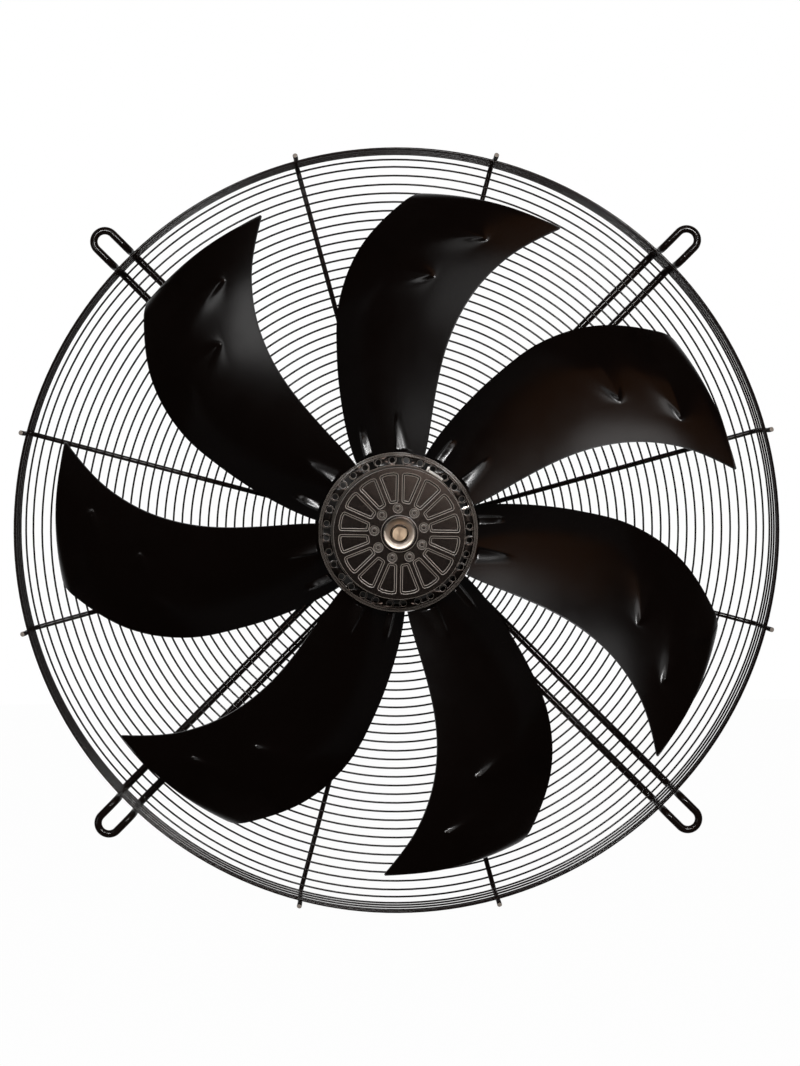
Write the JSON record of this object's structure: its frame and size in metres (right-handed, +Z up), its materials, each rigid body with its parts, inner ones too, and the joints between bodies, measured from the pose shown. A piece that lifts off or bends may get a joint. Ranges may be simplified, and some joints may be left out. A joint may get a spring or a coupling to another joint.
{
  "type": "axial fan",
  "caption": "Axial fan with sickle blades on an external-rotor motor, in a welded wire guard with looped mounting feet.",
  "frame": {"origin": "on the fan axis, in the plane that the four looped feet stand on", "axes": "+Y along the fan axis from the rotor's open face to the face of the guard, the way the air is blown; +Z up; +X to the right of someone who looks at the rotor"},
  "size_m": [0.895, 0.231, 0.895],
  "materials": {
    "guard_wire": "gloss black",
    "blade_paint": "gloss black",
    "rotor_paint": "satin dark paint on a casting",
    "cast_housing": "satin dark casting",
    "bright_steel": "bright",
    "shaft_steel": "turned, warm tone",
    "dark_screw": "dark oiled",
    "winding": "enamelled copper on laminations",
    "magnet": "matt",
    "box_plastic": "matt black"
  },
  "bodies": {
    "guard_and_stator": {"guard_face": "guard_wire", "guard_rim": "guard_wire", "guard_spoke_1": "guard_wire", "guard_spoke_2": "guard_wire", "guard_spoke_3": "guard_wire", "guard_spoke_4": "guard_wire", "guard_spoke_5": "guard_wire", "guard_spoke_6": "guard_wire", "guard_arm_1": "guard_wire", "guard_arm_2": "guard_wire", "guard_arm_3": "guard_wire", "guard_arm_4": "guard_wire", "motor_plate": "guard_wire", "plate_bolt_1": "bright_steel", "plate_bolt_2": "bright_steel", "plate_bolt_3": "bright_steel", "plate_bolt_4": "bright_steel", "motor_housing": "cast_housing", "stator_flange": "cast_housing", "stator_tube": "cast_housing", "stator_core": "winding", "bearing_front": "bright_steel", "bearing_rear": "bright_steel", "terminal_box": "box_plastic", "terminal_lid": "box_plastic", "lid_screw_1": "bright_steel", "lid_screw_2": "bright_steel", "lid_screw_3": "bright_steel", "lid_screw_4": "bright_steel", "cable_gland": "box_plastic"},
    "impeller": {"shaft": "shaft_steel", "shaft_collar": "bright_steel", "rotor_bell": "cast_housing", "rotor_magnets": "magnet", "rotor_cover": "rotor_paint", "cover_screw_1": "dark_screw", "cover_screw_2": "dark_screw", "cover_screw_3": "dark_screw", "cover_screw_4": "dark_screw", "cover_screw_5": "dark_screw", "cover_screw_6": "dark_screw", "cover_screw_7": "dark_screw", "cover_screw_8": "dark_screw", "cover_screw_9": "dark_screw", "hub_ring": "rotor_paint", "blade_1": "blade_paint", "blade_2": "blade_paint", "blade_3": "blade_paint", "blade_4": "blade_paint", "blade_5": "blade_paint", "blade_6": "blade_paint", "blade_7": "blade_paint"}
  },
  "joints": [
    {"name": "impeller_spin", "type": "hinge", "parent": "guard_and_stator", "child": "impeller", "pos_m": [0, 0, 0], "axis": [0, 1, 0], "continuous": true}
  ]
}
